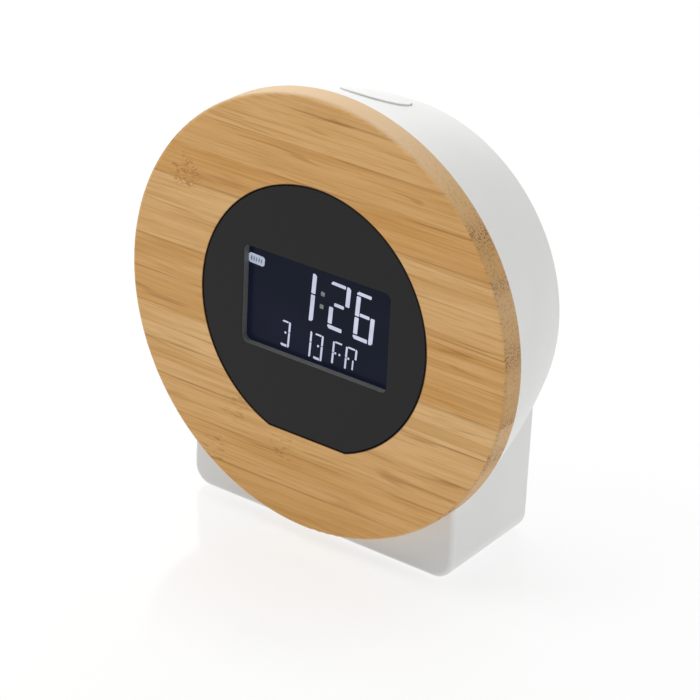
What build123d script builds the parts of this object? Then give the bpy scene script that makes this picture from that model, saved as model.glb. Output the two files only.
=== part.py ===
from build123d import *
import math
import os

# A desk clock: a round face of laminated bamboo on a white moulded body that tapers to
# the back, leans back a little and ends in a square foot. A dark panel let into the
# bamboo holds a recessed liquid crystal display. All lengths are millimetres, +Z is up,
# the face looks along -Y, and the origin is under the middle of the clock.

# How the clock stands
lean = 3.0  # degrees that the face leans back
centre_height = 69.7  # middle of the face above the table
foot_gap = 0.5  # underside of the foot above the table

# Bamboo face
face_radius = 65.0
face_thickness = 7.3
face_front_round = 1.1
face_back_round = 0.4
glue_recess = 0.3
glue_outer_radius = 60.0
glue_inner_radius = 42.0

# White body
front_radius = 64.5
rear_radius = 52.2
body_depth = 44.9  # front of the bamboo to the back of the body
body_bow = 1.0
seam_depth = 9.9
shell_wall = 2.2
rear_round = 2.3
foot_rear_round = 1.8
inner_round = 0.6
foot_half_width = 46.3
foot_corner_round = 6.0
foot_front_round = 1.4
foot_top = 15.0  # top of the foot block below the middle, hidden in the round body
foot_rib_across = 13.0
foot_rib_length = 10.0
rib_thickness = 1.2
lip_length = 2.0
lip_wall = 1.2
lip_fit = 0.15
seat_gap = 0.1  # between faces that a screw pulls together or a cover rests on
overrun = 1.0  # how far a cut runs past the face that it opens

# Rubber pads under the foot
pad_radius = 4.0
pad_thickness = 1.1
pad_margin = 1.2
pad_across = 37.0
pad_fit = 0.1

# Dark panel with the display window
panel_radius = 39.0
panel_drop = 36.6  # middle of the face down to the level bottom edge
panel_corner = 2.6  # where its round side meets the level edge
panel_fit = 0.25
panel_plate = 2.35
panel_skirt = 1.6
panel_edge_round = 0.3
window_width = 50.8
window_height = 29.9
window_corner = 2.0
window_across = 0.9
window_up = 1.0

# Display stack behind the window
glass_thickness = 1.1
glass_side_margin = 1.3
glass_top_margin = 1.3
glass_bottom_margin = 4.6
glass_ledge = 2.6
guide_thickness = 2.5
reflector_thickness = 0.2
pocket_fit = 0.2
frame_floor = 1.5
stack_half_width = 29.2
stack_half_height = 25.0
stack_radius = 34.8
led_strip_thickness = 0.8
led_strip_length = 24.0
led_thickness = 1.4
led_length = 3.0
led_count = 3
zebra_length = 46.0
zebra_thickness = 2.0

# Boards and what is soldered to them
board_thickness = 1.6
board_gap = 0.3
chip_size = 10.0
chip_thickness = 1.4
crystal_radius = 1.1
crystal_length = 6.4
capacitor_radius = 2.6
capacitor_height = 5.4
chip_part_length = 2.0
chip_part_width = 1.25
chip_part_height = 0.9
header_length = 11.0
header_width = 4.0
header_height = 2.5
ribbon_width = 9.6
ribbon_thickness = 0.7
ribbon_bow = 2.5

# Screws and the bosses that take them
screw_radius = 1.1
screw_head_radius = 2.1
screw_head_height = 1.3
boss_radius = 2.6
boss_across = 22.0
boss_up = 21.5
lug_radius = 3.6
lug_circle_radius = 33.2
opening_radius = 36.2
lug_screw_length = 6.0
board_screw_length = 5.0
housing_screw_radius = 1.4
housing_screw_head_radius = 2.6
housing_screw_head_height = 2.0
housing_screw_length = 8.5
housing_boss_radius = 3.6
housing_boss_length = 6.0
housing_tube_radius = 4.1
housing_tube_floor = 3.0
upper_screw_across = 33.0
upper_screw_up = 31.0
lower_screw_across = 38.0
lower_screw_height = 13.7  # above the table
screw_fit = 0.25  # clearance round a shank that passes through
screw_bite = 0.05  # pilot hole smaller than the shank

# Round button on top of the body
button_radius = 9.8
button_gap = 0.25
button_lip_gap = 1.6  # between the frame's lip and the button's flange
button_rise = 0.5
button_wall = 1.4
button_flange = 1.6
button_flange_thickness = 1.2
button_flange_gap = 0.3
button_travel = 0.8
button_post_radius = 2.2

# Small switches
switch_size = 6.0
switch_height = 3.4
switch_stem_radius = 1.7
switch_stem_proud = 1.1
switch_stem_sunk = 1.4
switch_stem_gap = 0.08

# Shelf and board under the round button
shelf_thickness = 2.0
shelf_half_width = 9.0
shelf_margin = 1.2  # of the shelf in front of the switch
switch_board_half_width = 8.0
switch_board_length = 15.6
shelf_screw_across = 5.4
shelf_screw_inset = 2.6
shelf_screw_length = 3.2
shelf_rib_length = 10.0

# Keys on the back
key_radius = 3.1
key_gap = 0.15
key_proud = 0.8
key_flange = 0.9
key_flange_thickness = 1.0
key_flange_gap = 0.15
key_travel = 0.6
key_edge_round = 0.4
key_row_up = 20.0
key_pitch = 13.5
key_stem_proud = 0.8
key_board_half_width = 39.4
key_board_height = 12.0
key_post_radius = 2.6
key_post_across = 36.4
buzzer_radius = 6.0
buzzer_height = 4.3
buzzer_up = 5.0
buzzer_bore = 1.2
sound_hole_radius = 0.75
sound_hole_circle_radius = 3.6
sound_hole_count = 6

# Alarm slide switch beside the keys
slide_travel = 2.5
slide_case_length = 8.6
slide_case_width = 4.4
slide_case_height = 3.4
slide_knob_length = 3.4
slide_knob_width = 2.6
slide_knob_proud = 0.7
slide_plate_length = 9.6
slide_plate_width = 4.2
slide_plate_thickness = 0.9
slide_pin = 1.2
slide_pin_sunk = 1.4
slide_gap = 0.2
slide_rib_count = 3
slide_rib_depth = 0.25

# Two cells, their bay and its door
cell_radius = 5.25
cell_length = 44.5
cell_nub_radius = 2.75
cell_nub_length = 1.0
cell_pitch = 11.1
cell_clearance = 0.3
bay_drop = 27.0  # middle of the bay below the middle of the face
bay_wall = 1.5
spring_room = 3.0
bump_room = 1.2
contact_thickness = 0.3
contact_width = 8.6
contact_bump_radius = 2.0
contact_tail_width = 2.0
contact_tail_length = 3.0
contact_slot_fit = 0.2
spring_radius = 2.8
spring_wire = 0.4
spring_turns = 2.5
door_thickness = 1.8
door_seat = 1.2
door_gap = 0.15
door_corner = 2.0
door_lip = 1.0
door_lip_depth = 1.2
door_edge_round = 0.3
grip_count = 4
grip_pitch = 1.8
grip_width = 0.8
grip_depth = 0.5
grip_length = 14.0
grip_drop = 5.5
lead_radius = 0.5
lead_bend = 2.6

lean_sine = math.sin(math.radians(lean))
lean_cosine = math.cos(math.radians(lean))
side_slope = math.atan((front_radius - rear_radius) / (body_depth - face_thickness))
rear_side_slope = side_slope + 4 * body_bow / (body_depth - face_thickness)

# The middle of the face stands as far in front of the origin as centres the whole depth:
# the lowest front edge of the bamboo reaches furthest forward, the top rear edge back.
front_reach = face_radius * lean_sine - face_front_round * (lean_cosine - 1 + lean_sine)
round_centre = rear_radius - rear_round * (1 - math.sin(rear_side_slope)) / math.cos(rear_side_slope)
rear_reach = (body_depth - rear_round) * lean_cosine + round_centre * lean_sine + rear_round
face_y = (front_reach - rear_reach) / 2

face = Plane(origin=(0, face_y, centre_height), x_dir=(1, 0, 0), z_dir=(0, -lean_cosine, lean_sine))
side = Plane(origin=face.origin, x_dir=-face.z_dir, z_dir=(1, 0, 0))  # depth, height
face_axis = Axis(face.origin, -face.z_dir)


def at_depth(depth):
    """The plane this far behind the front of the bamboo, its normal to the front."""
    return face.offset(-depth)


def at_height(height):
    """The plane this far above the middle of the face, drawn on in width and depth."""
    origin = face.from_local_coords((0, height, 0))
    return Plane(origin=origin, x_dir=(1, 0, 0), z_dir=face.y_dir)


def place(across, depth, height):
    """A point given by width, depth and height in the leaning body."""
    return face.from_local_coords((across, height, -depth))


def ground_y(depth):
    """Where the leaning plane at this depth meets the table."""
    return face_y + (depth - centre_height * lean_sine) / lean_cosine


def floor_up(depth):
    """Height of the middle of the foot's floor, from the middle of the face, at a depth."""
    floor_height = foot_gap + shell_wall / 2
    return (floor_height - centre_height + depth * lean_sine) / lean_cosine


def body_radius(depth):
    """Outer radius of the round body at a depth, with its slight outward bow."""
    share = (depth - face_thickness) / (body_depth - face_thickness)
    straight = front_radius + (rear_radius - front_radius) * share
    return straight + 4 * body_bow * share * (1 - share)


def foot_form(inset, front_depth, front_round, back_round):
    """The square foot, drawn in by inset, its underside level with the table."""
    back_depth = body_depth - inset
    with BuildPart() as foot:
        with BuildSketch(at_depth(back_depth)):
            with Locations((0, -foot_top)):
                Rectangle(2 * (foot_half_width - inset), centre_height, align=(Align.CENTER, Align.MAX))
        extrude(amount=back_depth - front_depth)
        split(bisect_by=Plane.XY.offset(foot_gap + inset), keep=Keep.TOP)
        fillet(foot.edges().filter_by(Axis.Y), foot_corner_round - inset)
        fillet(foot.faces().sort_by(Axis.Y)[-1].edges().sort_by(Axis.Z)[:-1], back_round)
        if front_round > 0:
            fillet(foot.faces().sort_by(Axis.Y)[0].edges().sort_by(Axis.Z)[:-1], front_round)
    return foot.part


def body_form(inset, front_depth, front_round, round_back_round, foot_back_round):
    """The whole outer form, round body and foot, drawn in by inset."""
    foot = foot_form(inset, front_depth, front_round, foot_back_round)
    draw_in = inset / math.cos(side_slope)
    back_depth = body_depth - inset
    middle_depth = (front_depth + back_depth) / 2
    with BuildPart() as form:
        with BuildSketch(side):
            with BuildLine():
                wall = ThreePointArc(
                    (front_depth, body_radius(front_depth) - draw_in),
                    (middle_depth, body_radius(middle_depth) - draw_in),
                    (back_depth, body_radius(back_depth) - draw_in),
                )
                Polyline(wall @ 1, (back_depth, 0), (front_depth, 0), wall @ 0)
            make_face()
        revolve(axis=face_axis)
        fillet(form.edges().filter_by(GeomType.CIRCLE).sort_by(Axis.Y)[-1], round_back_round)
        add(foot)
    return form.part


def inner_form(inset, front_depth):
    """The same form further in, with the small rounds of an inside corner."""
    return body_form(inset, front_depth, 0, inner_round, inner_round)


def level_bottomed_disc(radius, drop):
    """A disc cut level at the bottom with rounded corners there, added to the open sketch."""
    with BuildSketch(mode=Mode.PRIVATE) as outline:
        Circle(radius)
        with Locations((0, -drop)):
            Rectangle(2 * radius, radius, align=(Align.CENTER, Align.MAX), mode=Mode.SUBTRACT)
        fillet(outline.vertices(), panel_corner)
    add(outline.sketch_local)


def stack_outline(trim):
    """The clipped rectangle that the display stack and the main board share."""
    Rectangle(2 * (stack_half_width - trim), 2 * (stack_half_height - trim))
    Circle(stack_radius - trim, mode=Mode.INTERSECT)


def pan_screws(plane, places, length, radius, head_radius, head_height):
    """Pan-head screws whose heads stand on the plane and whose shanks run into it."""
    with BuildPart() as screws:
        with BuildSketch(plane):
            with Locations(*places):
                Circle(head_radius)
        extrude(amount=head_height)
        head_edges = screws.faces().filter_by(Plane(plane.origin, z_dir=plane.z_dir)).edges()
        top_edges = head_edges.filter_by(GeomType.CIRCLE).group_by(Axis(plane.origin, plane.z_dir))[-1]
        fillet(top_edges, head_height / 2)
        with BuildSketch(plane):
            with Locations(*places):
                Circle(radius)
        extrude(amount=-length)
    return screws.part


os.makedirs("parts", exist_ok=True)

outer_form = body_form(0, face_thickness, foot_front_round, rear_round, foot_rear_round)
hollow_form = inner_form(shell_wall, face_thickness)
lip_outer_form = inner_form(shell_wall + lip_fit, seam_depth - overrun)
lip_inner_form = inner_form(shell_wall + lip_fit + lip_wall, seam_depth - 2 * overrun)

# Bamboo face: a laminated board turned round, with an opening for the dark panel
with BuildPart() as bamboo_face:
    with BuildSketch(at_depth(face_thickness)):
        Circle(face_radius)
    extrude(amount=face_thickness)
    rims = bamboo_face.edges().filter_by(GeomType.CIRCLE).sort_by(Axis.Y)
    fillet(rims[0], face_front_round)
    fillet(bamboo_face.edges().filter_by(GeomType.CIRCLE).sort_by(Axis.Y)[-1], face_back_round)
    with BuildSketch(at_depth(face_thickness)):
        level_bottomed_disc(panel_radius, panel_drop)
    extrude(amount=face_thickness, mode=Mode.SUBTRACT)
bamboo_face.part.label = "bamboo_face"
export_step(bamboo_face.part, "parts/bamboo_face.step")

# Adhesive ring that holds the bamboo to the front frame
with BuildPart() as adhesive_ring:
    with BuildSketch(at_depth(face_thickness + glue_recess)):
        Circle(glue_outer_radius - panel_fit)
        Circle(glue_inner_radius + panel_fit, mode=Mode.SUBTRACT)
    extrude(amount=glue_recess)
adhesive_ring.part.label = "adhesive_ring"
export_step(adhesive_ring.part, "parts/adhesive_ring.step")

# Front frame: the front slice of the white body, with a lip that enters the rear housing
housing_screw_places = [
    (upper_screw_across, upper_screw_up),
    (-upper_screw_across, upper_screw_up),
    (lower_screw_across, lower_screw_height - centre_height),
    (-lower_screw_across, lower_screw_height - centre_height),
]
lug_places = [
    (lug_circle_radius, 0),
    (0, lug_circle_radius),
    (-lug_circle_radius, 0),
    (0, -lug_circle_radius),
]
frame_boss_end = seam_depth + housing_boss_length
with BuildPart() as lip:
    add(lip_outer_form)
    split(bisect_by=at_depth(seam_depth + lip_length), keep=Keep.TOP)
    add(lip_inner_form, mode=Mode.SUBTRACT)
with BuildPart() as front_frame:
    add(outer_form)
    split(bisect_by=at_depth(seam_depth), keep=Keep.TOP)
    with BuildSketch(at_depth(seam_depth)):
        Circle(opening_radius)
        with Locations(*lug_places):
            Circle(lug_radius, mode=Mode.SUBTRACT)
    extrude(amount=seam_depth - face_thickness, mode=Mode.SUBTRACT)
    with BuildSketch(at_depth(face_thickness + glue_recess)):
        Circle(glue_outer_radius)
        Circle(glue_inner_radius, mode=Mode.SUBTRACT)
    extrude(amount=glue_recess, mode=Mode.SUBTRACT)
    with BuildSketch(at_depth(seam_depth)):
        with Locations(*lug_places):
            Circle(screw_radius + screw_fit)
    extrude(amount=seam_depth - face_thickness, mode=Mode.SUBTRACT)
    add(lip.part)
    with BuildSketch(at_depth(frame_boss_end)):
        with Locations(*housing_screw_places):
            Circle(housing_boss_radius)
    extrude(amount=housing_boss_length)
    with BuildSketch(at_depth(frame_boss_end)):
        with Locations(*housing_screw_places):
            Circle(housing_screw_radius - screw_bite)
    extrude(amount=housing_boss_length, mode=Mode.SUBTRACT)
front_frame.part.label = "front_frame"
export_step(front_frame.part, "parts/front_frame.step")

# Dark panel: a moulded plate with the window, a skirt down to the frame, and bosses
glass_width = window_width + 2 * glass_side_margin
glass_height = window_height + glass_top_margin + glass_bottom_margin
glass_up = window_up + (glass_top_margin - glass_bottom_margin) / 2
glass_front = panel_plate
guide_front = glass_front + 2 * glass_thickness
reflector_front = guide_front + guide_thickness
frame_floor_front = reflector_front + reflector_thickness
frame_back = frame_floor_front + frame_floor
board_front = frame_back + board_gap
board_back = board_front + board_thickness
stack_boss_places = [
    (boss_across, boss_up),
    (-boss_across, boss_up),
    (boss_across, -boss_up),
    (-boss_across, -boss_up),
]
with BuildPart() as display_panel:
    with BuildSketch(at_depth(face_thickness)):
        level_bottomed_disc(panel_radius - panel_fit, panel_drop - panel_fit)
    extrude(amount=face_thickness)
    fillet(display_panel.faces().sort_by(Axis.Y)[0].edges(), panel_edge_round)
    with BuildSketch(at_depth(face_thickness)):
        level_bottomed_disc(panel_radius - panel_fit - panel_skirt, panel_drop - panel_fit - panel_skirt)
    extrude(amount=face_thickness - panel_plate, mode=Mode.SUBTRACT)
    with BuildSketch(at_depth(face_thickness)):
        with Locations(*lug_places):
            Circle(boss_radius)
        level_bottomed_disc(panel_radius - panel_fit, panel_drop - panel_fit)
        with Locations(*lug_places):
            Circle(boss_radius, mode=Mode.INTERSECT)
    extrude(amount=face_thickness - panel_plate)
    with BuildSketch(at_depth(board_front)):
        with Locations(*stack_boss_places):
            Circle(boss_radius)
    extrude(amount=board_front - panel_plate)
    with BuildSketch(at_depth(panel_plate)):
        with Locations((window_across, window_up)):
            RectangleRounded(window_width, window_height, window_corner)
    extrude(amount=panel_plate, mode=Mode.SUBTRACT)
    with BuildSketch(at_depth(face_thickness)):
        with Locations(*lug_places):
            Circle(screw_radius - screw_bite)
    extrude(amount=face_thickness - panel_plate, mode=Mode.SUBTRACT)
    with BuildSketch(at_depth(board_front)):
        with Locations(*stack_boss_places):
            Circle(screw_radius - screw_bite)
    extrude(amount=board_front - panel_plate, mode=Mode.SUBTRACT)
display_panel.part.label = "display_panel"
export_step(display_panel.part, "parts/display_panel.step")

# Display glass: two glued panes, the front one longer at the bottom for its contacts
with BuildPart() as lcd_glass:
    with BuildSketch(at_depth(glass_front + glass_thickness)):
        with Locations((window_across, glass_up)):
            Rectangle(glass_width, glass_height)
    extrude(amount=glass_thickness)
    with BuildSketch(at_depth(guide_front)):
        with Locations((window_across, glass_up + glass_ledge / 2)):
            Rectangle(glass_width, glass_height - glass_ledge)
    extrude(amount=glass_thickness)
lcd_glass.part.label = "lcd_glass"
export_step(lcd_glass.part, "parts/lcd_glass.step")

# Light guide behind the glass, its reflector sheet, and the lamps at its left edge
lamp_room = led_strip_thickness + led_thickness
glass_left = window_across - glass_width / 2
guide_left = glass_left + lamp_room
guide_width = glass_width - lamp_room
guide_across = guide_left + guide_width / 2
guide_up = glass_up + glass_ledge / 2
guide_height = glass_height - glass_ledge
with BuildPart() as light_guide:
    with BuildSketch(at_depth(reflector_front)):
        with Locations((guide_across, guide_up)):
            Rectangle(guide_width, guide_height)
    extrude(amount=guide_thickness)
light_guide.part.label = "light_guide"
export_step(light_guide.part, "parts/light_guide.step")

with BuildPart() as reflector_sheet:
    with BuildSketch(at_depth(frame_floor_front)):
        with Locations((guide_across, guide_up)):
            Rectangle(guide_width, guide_height)
    extrude(amount=reflector_thickness)
reflector_sheet.part.label = "reflector_sheet"
export_step(reflector_sheet.part, "parts/reflector_sheet.step")

with BuildPart() as led_strip:
    with BuildSketch(at_depth(reflector_front)):
        with Locations((glass_left, guide_up)):
            Rectangle(led_strip_thickness, led_strip_length, align=(Align.MIN, Align.CENTER))
    extrude(amount=guide_thickness)
led_strip.part.label = "led_strip"
export_step(led_strip.part, "parts/led_strip.step")

with BuildPart() as backlight_leds:
    with BuildSketch(at_depth(reflector_front)):
        with Locations((glass_left + led_strip_thickness + led_thickness / 2, guide_up)):
            with GridLocations(0, led_strip_length / led_count, 1, led_count):
                Rectangle(led_thickness, led_length)
    extrude(amount=guide_thickness)
backlight_leds.part.label = "backlight_leds"
export_step(backlight_leds.part, "parts/backlight_leds.step")

# Stack frame: holds glass, guide and lamps against the back of the panel
zebra_up = glass_up - glass_height / 2 + glass_ledge / 2
with BuildPart() as lcd_frame:
    with BuildSketch(at_depth(frame_back)):
        stack_outline(0)
        with Locations(*stack_boss_places):
            Circle(boss_radius + screw_fit, mode=Mode.SUBTRACT)
    extrude(amount=frame_back - panel_plate)
    with BuildSketch(at_depth(frame_floor_front)):
        with Locations((window_across, glass_up)):
            Rectangle(glass_width + 2 * pocket_fit, glass_height + 2 * pocket_fit)
    extrude(amount=frame_floor_front - panel_plate, mode=Mode.SUBTRACT)
    with BuildSketch(at_depth(frame_back)):
        with Locations((window_across, zebra_up)):
            Rectangle(zebra_length + 2 * pocket_fit, zebra_thickness + 2 * pocket_fit)
    extrude(amount=frame_floor, mode=Mode.SUBTRACT)
lcd_frame.part.label = "lcd_frame"
export_step(lcd_frame.part, "parts/lcd_frame.step")

# Rubber contact strip between the glass ledge and the main board
with BuildPart() as contact_strip:
    with BuildSketch(at_depth(board_front)):
        with Locations((window_across, zebra_up)):
            Rectangle(zebra_length, zebra_thickness)
    extrude(amount=board_front - glass_front - glass_thickness)
contact_strip.part.label = "contact_strip"
export_step(contact_strip.part, "parts/contact_strip.step")

# Main board and its parts
chip_across = -boss_across / 2
ribbon_across = -boss_across / 2
ribbon_up = stack_half_height - header_width - board_gap
chip_up = ribbon_up - header_width - chip_size / 2
crystal_across = boss_across / 2
with BuildPart() as main_board:
    with BuildSketch(at_depth(board_back)):
        stack_outline(pocket_fit)
        with Locations(*stack_boss_places):
            Circle(screw_radius + screw_fit, mode=Mode.SUBTRACT)
    extrude(amount=board_thickness)
main_board.part.label = "main_board"
export_step(main_board.part, "parts/main_board.step")

with BuildPart() as clock_chip:
    with BuildSketch(at_depth(board_back + chip_thickness)):
        with Locations((chip_across, chip_up)):
            Rectangle(chip_size, chip_size)
    extrude(amount=chip_thickness)
    chamfer(clock_chip.faces().sort_by(Axis.Y)[-1].edges(), chip_thickness / 5)
clock_chip.part.label = "clock_chip"
export_step(clock_chip.part, "parts/clock_chip.step")

with BuildPart() as crystal:
    with BuildSketch(side.offset(crystal_across - crystal_length / 2)):
        with Locations((board_back + crystal_radius, chip_up)):
            Circle(crystal_radius)
    extrude(amount=crystal_length)
crystal.part.label = "crystal"
export_step(crystal.part, "parts/crystal.step")

with BuildPart() as capacitors:
    with BuildSketch(at_depth(board_back + capacitor_height)):
        with Locations((crystal_across, chip_up - chip_size)):
            with GridLocations(0, 3 * capacitor_radius, 1, 2):
                Circle(capacitor_radius)
    extrude(amount=capacitor_height)
    fillet(capacitors.faces().sort_by(Axis.Y)[-2:].edges(), capacitor_radius / 5)
capacitors.part.label = "capacitors"
export_step(capacitors.part, "parts/capacitors.step")

with BuildPart() as chip_parts:
    with BuildSketch(at_depth(board_back + chip_part_height)):
        with Locations((chip_across, chip_up - chip_size)):
            with GridLocations(2 * chip_part_length, 2 * chip_part_width, 4, 2):
                Rectangle(chip_part_length, chip_part_width)
    extrude(amount=chip_part_height)
chip_parts.part.label = "chip_parts"
export_step(chip_parts.part, "parts/chip_parts.step")

board_screws = pan_screws(
    at_depth(board_back).rotated((180, 0, 0)),
    [(across, -up) for across, up in stack_boss_places],
    board_screw_length,
    screw_radius - screw_bite,
    screw_head_radius,
    screw_head_height,
)
board_screws.label = "board_screws"
export_step(board_screws, "parts/board_screws.step")

panel_screws = pan_screws(
    at_depth(seam_depth).rotated((180, 0, 0)),
    lug_places,
    lug_screw_length,
    screw_radius - screw_bite,
    screw_head_radius,
    screw_head_height,
)
panel_screws.label = "panel_screws"
export_step(panel_screws, "parts/panel_screws.step")

# Depths inside the back wall, from the wall to the front
wall_inside = body_depth - shell_wall
key_flange_back = wall_inside - key_flange_gap
key_flange_front = key_flange_back - key_flange_thickness
key_switch_back = key_flange_front - key_stem_proud
key_board_back = key_switch_back - switch_height
key_board_front = key_board_back - board_thickness

# Place of the round button behind the frame's lip, and the heights under it, from its post down
button_depth = seam_depth + lip_length + button_lip_gap + button_flange + button_radius
button_middle = body_radius(button_depth)
body_top = front_radius + body_bow + button_rise
switch_board_top = button_middle - button_wall - button_post_radius * 3 - switch_height
switch_top = switch_board_top + switch_height
post_bottom = switch_top + switch_stem_proud
button_base = button_middle - 4 * shell_wall
shelf_top = switch_board_top - board_thickness
shelf_front = button_depth - switch_size / 2 - shelf_margin
switch_board_front = button_depth - switch_board_length / 2
switch_board_back = button_depth + switch_board_length / 2

# The bay for the cells
contact_room = spring_room + bump_room
bay_half_width = (cell_length + contact_room) / 2
bay_half_height = cell_pitch / 2 + cell_radius + cell_clearance
door_inside = body_depth - door_thickness
cell_depth = door_inside - door_seat - cell_radius
bay_floor = cell_depth - cell_radius - cell_clearance
bay_front = bay_floor - bay_wall
door_half_width = bay_half_width + bay_wall - door_gap
door_half_height = bay_half_height + bay_wall - door_gap

# Rear housing: tapered round shell with the foot, screw tubes, cell bay and shelf
key_places = [((index - 2) * key_pitch, key_row_up) for index in range(4)]
slide_across = 2 * key_pitch
key_post_places = [(key_post_across, key_row_up), (-key_post_across, key_row_up)]
tube_front = frame_boss_end + seat_gap
slide_slot_length = slide_knob_length + slide_travel + 2 * slide_gap
slide_slot_width = slide_knob_width + 2 * slide_gap
shelf_screw_depth = switch_board_back - shelf_screw_inset
shelf_screw_places = [(shelf_screw_across, shelf_screw_depth), (-shelf_screw_across, shelf_screw_depth)]
pad_front_y = ground_y(seam_depth) + pad_margin + pad_radius
pad_rear_y = ground_y(body_depth) - foot_rear_round - pad_margin - pad_radius
pad_places = [
    (pad_across, pad_front_y),
    (-pad_across, pad_front_y),
    (pad_across, pad_rear_y),
    (-pad_across, pad_rear_y),
]
with BuildPart() as rear_housing:
    add(outer_form)
    split(bisect_by=at_depth(seam_depth), keep=Keep.BOTTOM)
    add(hollow_form, mode=Mode.SUBTRACT)
    # Tubes for the housing screws, posts for the key board, walls of the cell bay
    with BuildSketch(at_depth(wall_inside)):
        with Locations(*housing_screw_places):
            Circle(housing_tube_radius)
    extrude(amount=wall_inside - tube_front)
    with BuildSketch(at_depth(wall_inside)):
        with Locations(*key_post_places):
            Circle(key_post_radius)
    extrude(amount=wall_inside - key_board_back)
    with BuildSketch(at_depth(wall_inside)):
        with Locations((0, -bay_drop)):
            Rectangle(2 * (bay_half_width + bay_wall), 2 * (bay_half_height + bay_wall))
    extrude(amount=wall_inside - bay_front)
    # Shelf for the small board under the round button, on two ribs
    with BuildSketch(at_height(shelf_top - shelf_thickness)):
        with Locations((0, shelf_front)):
            Rectangle(2 * shelf_half_width, wall_inside - shelf_front, align=(Align.CENTER, Align.MIN))
    extrude(amount=shelf_thickness)
    for rib_across in (-shelf_half_width, shelf_half_width - rib_thickness):
        with BuildSketch(side.offset(rib_across)):
            with BuildLine():
                Polyline(
                    (wall_inside, shelf_top - shelf_thickness),
                    (wall_inside - shelf_rib_length, shelf_top - shelf_thickness),
                    (wall_inside, shelf_top - shelf_thickness - shelf_rib_length),
                    close=True,
                )
            make_face()
        extrude(amount=rib_thickness)
    # Two ribs that carry the bay on the floor of the foot
    bay_bottom = -bay_drop - bay_half_height - bay_wall
    for rib_across in (-foot_rib_across, foot_rib_across - rib_thickness):
        with BuildSketch(side.offset(rib_across)):
            with BuildLine():
                Polyline(
                    (wall_inside, bay_bottom),
                    (wall_inside - foot_rib_length, bay_bottom),
                    (wall_inside - foot_rib_length, floor_up(wall_inside - foot_rib_length)),
                    (wall_inside, floor_up(wall_inside)),
                    close=True,
                )
            make_face()
        extrude(amount=rib_thickness)
    # Openings: button, keys, slide switch, sound holes, door seat and bay
    with BuildSketch(at_height(button_base)):
        with Locations((0, button_depth)):
            Circle(button_radius + button_gap)
    extrude(amount=body_top - button_base, mode=Mode.SUBTRACT)
    with BuildSketch(at_depth(body_depth)):
        with Locations(*key_places):
            Circle(key_radius + key_gap)
        with Locations((slide_across, key_row_up)):
            Rectangle(slide_slot_length, slide_slot_width)
        with Locations((0, buzzer_up)):
            Circle(sound_hole_radius)
            with PolarLocations(sound_hole_circle_radius, sound_hole_count):
                Circle(sound_hole_radius)
    extrude(amount=shell_wall, mode=Mode.SUBTRACT)
    with BuildSketch(at_depth(body_depth)):
        with Locations((0, -bay_drop)):
            RectangleRounded(
                2 * (door_half_width + door_gap), 2 * (door_half_height + door_gap), door_corner + door_gap
            )
    extrude(amount=door_thickness, mode=Mode.SUBTRACT)
    with BuildSketch(at_depth(body_depth)):
        with Locations((0, -bay_drop)):
            Rectangle(2 * bay_half_width, 2 * bay_half_height)
    extrude(amount=body_depth - bay_floor, mode=Mode.SUBTRACT)
    # Slots in the bay floor for the tails of the two right-hand contacts
    with BuildSketch(at_depth(bay_floor)):
        with Locations((bay_half_width - contact_thickness / 2, -bay_drop)):
            with GridLocations(0, cell_pitch, 1, 2):
                Rectangle(contact_thickness + contact_slot_fit, contact_tail_width + contact_slot_fit)
    extrude(amount=bay_wall, mode=Mode.SUBTRACT)
    # Screw tubes: a wide bore from the back and a clearance hole through the floor
    with BuildSketch(at_depth(body_depth)):
        with Locations(*housing_screw_places):
            Circle(housing_screw_head_radius + screw_fit)
    extrude(amount=body_depth - tube_front - housing_tube_floor, mode=Mode.SUBTRACT)
    with BuildSketch(at_depth(tube_front + housing_tube_floor)):
        with Locations(*housing_screw_places):
            Circle(housing_screw_radius + screw_fit)
    extrude(amount=housing_tube_floor, mode=Mode.SUBTRACT)
    with BuildSketch(at_depth(wall_inside)):
        with Locations(*key_post_places):
            Circle(screw_radius - screw_bite)
    extrude(amount=wall_inside - key_board_back, mode=Mode.SUBTRACT)
    with BuildSketch(at_height(shelf_top)):
        with Locations(*shelf_screw_places):
            Circle(screw_radius - screw_bite)
    extrude(amount=-shelf_thickness, mode=Mode.SUBTRACT)
    with BuildSketch(Plane.XY.offset(foot_gap)):
        with Locations(*pad_places):
            Circle(pad_radius + pad_fit)
    extrude(amount=pad_thickness - foot_gap, mode=Mode.SUBTRACT)
rear_housing.part.label = "rear_housing"
export_step(rear_housing.part, "parts/rear_housing.step")

housing_screws = pan_screws(
    at_depth(tube_front + housing_tube_floor).rotated((180, 0, 0)),
    [(across, -up) for across, up in housing_screw_places],
    housing_screw_length,
    housing_screw_radius - screw_bite,
    housing_screw_head_radius,
    housing_screw_head_height,
)
housing_screws.label = "housing_screws"
export_step(housing_screws, "parts/housing_screws.step")

# Rubber pads let into the underside of the foot
with BuildPart() as foot_pads:
    with BuildSketch(Plane.XY):
        with Locations(*pad_places):
            Circle(pad_radius)
    extrude(amount=pad_thickness)
foot_pads.part.label = "foot_pads"
export_step(foot_pads.part, "parts/foot_pads.step")

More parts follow.
